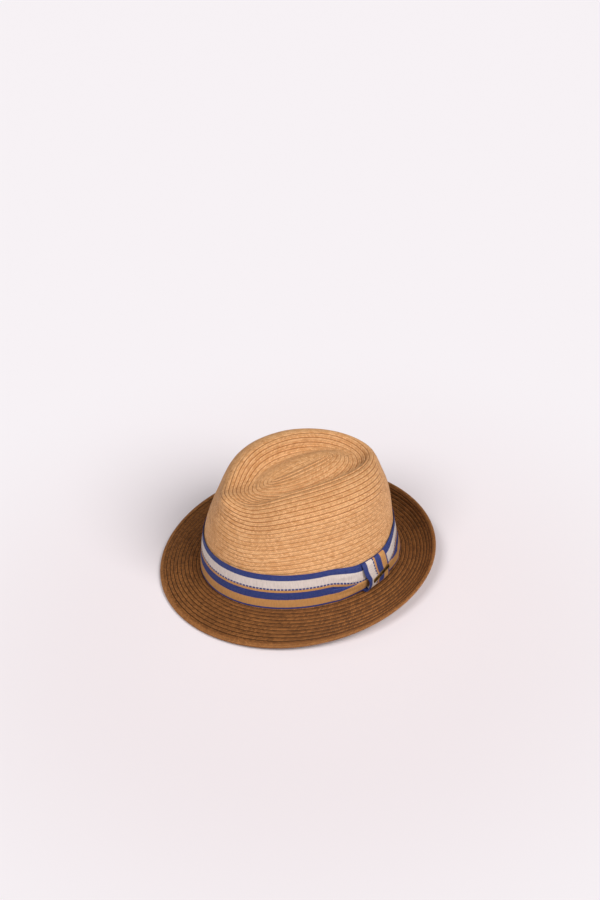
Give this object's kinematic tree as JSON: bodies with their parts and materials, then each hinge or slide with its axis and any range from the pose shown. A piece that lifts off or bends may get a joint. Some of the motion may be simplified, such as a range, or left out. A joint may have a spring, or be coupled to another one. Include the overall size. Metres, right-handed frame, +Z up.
{
  "type": "fedora hat",
  "caption": "Short-brim straw fedora (trilby): sewn braid crown with a teardrop dent, brim turned up at the back, striped ribbon band with loop keeper and small metal bar, sweatband inside.",
  "frame": {"origin": "centre of the hat's bounding box on the surface it stands on", "axes": "+Z up, the front of the hat faces -Y, the wearer's left side is +X"},
  "size_m": [0.2674, 0.2766, 0.122],
  "materials": {
    "crown_braid": "light tan paper braid, about 4.3 mm rows sewn in a spiral",
    "brim_braid": "brown paper braid, about 4.3 mm rows sewn in a spiral",
    "edge_wire": "drawn spring wire",
    "sleeve_metal": "crimped tube",
    "striped_ribbon": "grosgrain ribbon woven in navy, cream and tan stripes",
    "antique_brass": "dark antique finish, worn bright on the edges",
    "sewing_thread": "twisted thread",
    "sweatband_cloth": "cotton twill over thin foam",
    "label_cloth": "plain woven label, blank"
  },
  "bodies": {
    "root": {"crown": "crown_braid", "brim": "brim_braid", "brim_edge_row": "brim_braid", "brim_wire": "edge_wire", "brim_wire_sleeve": "sleeve_metal", "ribbon_band": "striped_ribbon", "ribbon_fold_front": "striped_ribbon", "ribbon_fold_rear": "striped_ribbon", "keeper_loop": "striped_ribbon", "bar_pin": "antique_brass", "bar_pin_backing": "antique_brass", "ribbon_tack_front": "sewing_thread", "ribbon_tack_left": "sewing_thread", "ribbon_tack_back": "sewing_thread", "ribbon_tack_right": "sewing_thread", "sweatband": "sweatband_cloth", "sweatband_reed": "sweatband_cloth", "sweatband_seam_tape": "sweatband_cloth", "size_tab": "label_cloth", "care_label": "label_cloth"}
  },
  "joints": []
}
